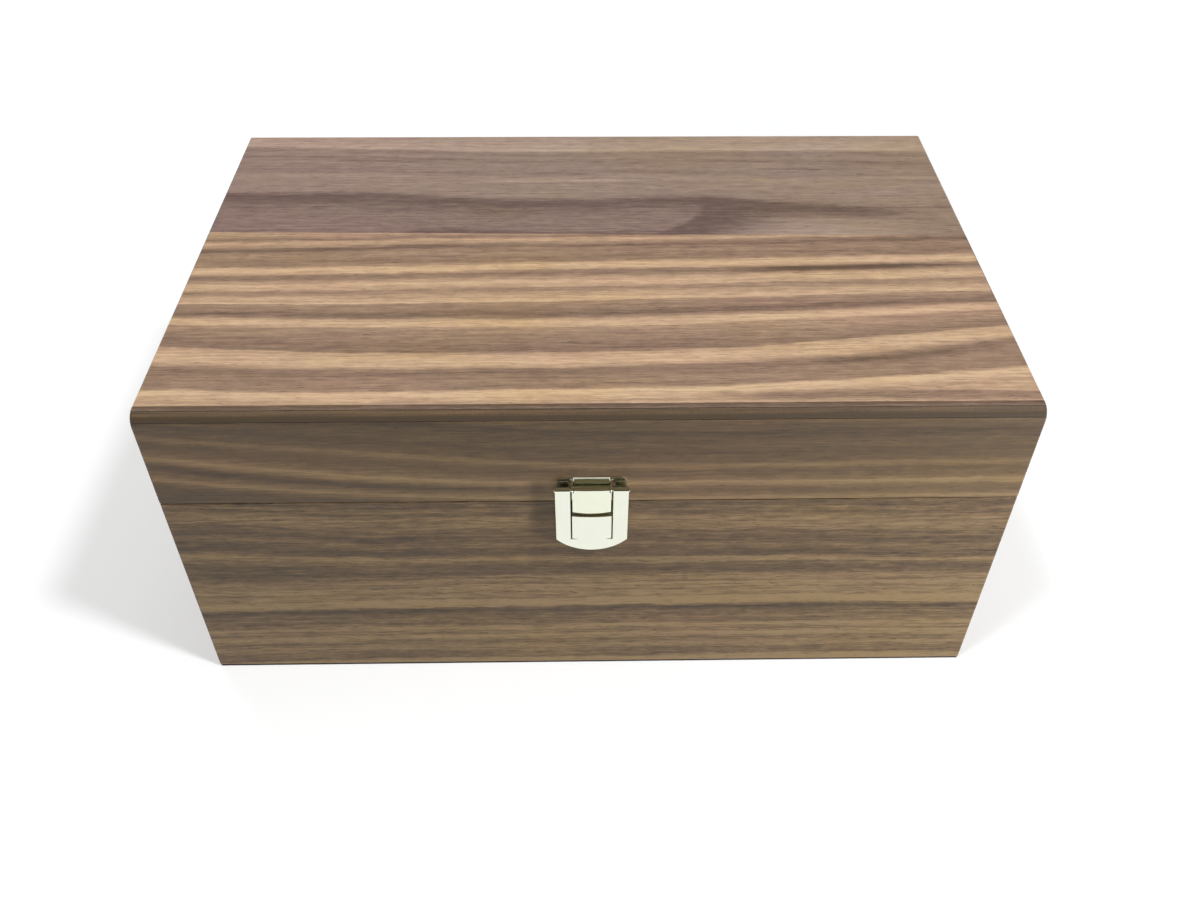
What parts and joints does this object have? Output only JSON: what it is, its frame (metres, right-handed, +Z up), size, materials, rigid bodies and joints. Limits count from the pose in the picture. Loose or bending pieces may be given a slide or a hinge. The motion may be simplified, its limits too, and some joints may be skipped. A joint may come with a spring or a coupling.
{
  "type": "hinged wooden storage box",
  "caption": "Low rectangular veneered wooden box with a hinged lid, a rounded front top edge, a plated spring latch in front and a felt base, for papers and keepsakes.",
  "frame": {"origin": "centre of the underside of the felt base, on the surface that the box stands on", "axes": "+X along the width to the right seen from the front, +Y to the hinged back, +Z up; the latch looks along -Y"},
  "size_m": [0.38, 0.2516, 0.17],
  "materials": {
    "walnut_top": "satin walnut veneer, grain along X",
    "walnut_sides": "satin darker walnut veneer, grain along the length",
    "stained_board": "stained fibreboard, fine speckle, satin lacquer",
    "bottom_panel": "stained thin board",
    "base_felt": "thin dark red-brown felt",
    "lining_felt": "thin dark felt",
    "plated_metal": "bright plated sheet metal",
    "plated_screws": "bright plated countersunk screws"
  },
  "bodies": {
    "box_body": {"body_front_wall": "stained_board", "body_back_wall": "stained_board", "body_left_wall": "stained_board", "body_right_wall": "stained_board", "bottom_panel": "bottom_panel", "base_felt": "base_felt", "floor_lining": "lining_felt", "body_front_veneer": "walnut_sides", "body_back_veneer": "walnut_sides", "body_left_veneer": "walnut_sides", "body_right_veneer": "walnut_sides", "latch_strike_plate": "plated_metal", "strike_screw_1": "plated_screws", "strike_screw_2": "plated_screws", "hinge_left_body_leaf": "plated_metal", "hinge_left_pin": "plated_metal", "hinge_left_body_screw_1": "plated_screws", "hinge_left_body_screw_2": "plated_screws", "hinge_right_body_leaf": "plated_metal", "hinge_right_pin": "plated_metal", "hinge_right_body_screw_1": "plated_screws", "hinge_right_body_screw_2": "plated_screws"},
    "lid": {"lid_front_wall": "stained_board", "lid_back_wall": "stained_board", "lid_left_wall": "stained_board", "lid_right_wall": "stained_board", "lid_top_board": "stained_board", "lid_front_veneer": "walnut_sides", "lid_back_veneer": "walnut_sides", "lid_left_veneer": "walnut_sides", "lid_right_veneer": "walnut_sides", "lid_top_veneer_front": "walnut_top", "lid_top_veneer_rear": "walnut_top", "latch_lid_plate": "plated_metal", "latch_pin_left": "plated_metal", "latch_pin_right": "plated_metal", "lid_plate_screw_1": "plated_screws", "lid_plate_screw_2": "plated_screws", "hinge_left_lid_leaf": "plated_metal", "hinge_left_lid_screw_1": "plated_screws", "hinge_left_lid_screw_2": "plated_screws", "hinge_right_lid_leaf": "plated_metal", "hinge_right_lid_screw_1": "plated_screws", "hinge_right_lid_screw_2": "plated_screws"},
    "latch_flap": {"latch_flap": "plated_metal"}
  },
  "joints": [
    {"name": "lid_hinge", "type": "hinge", "parent": "box_body", "child": "lid", "pos_m": [0, 0.12215, 0.119], "axis": [-1, 0, 0], "range_deg": [0, 95]},
    {"name": "latch_hinge", "type": "hinge", "parent": "lid", "child": "latch_flap", "pos_m": [0, -0.1245, 0.1301], "axis": [-1, 0, 0], "range_deg": [0, 170]}
  ]
}
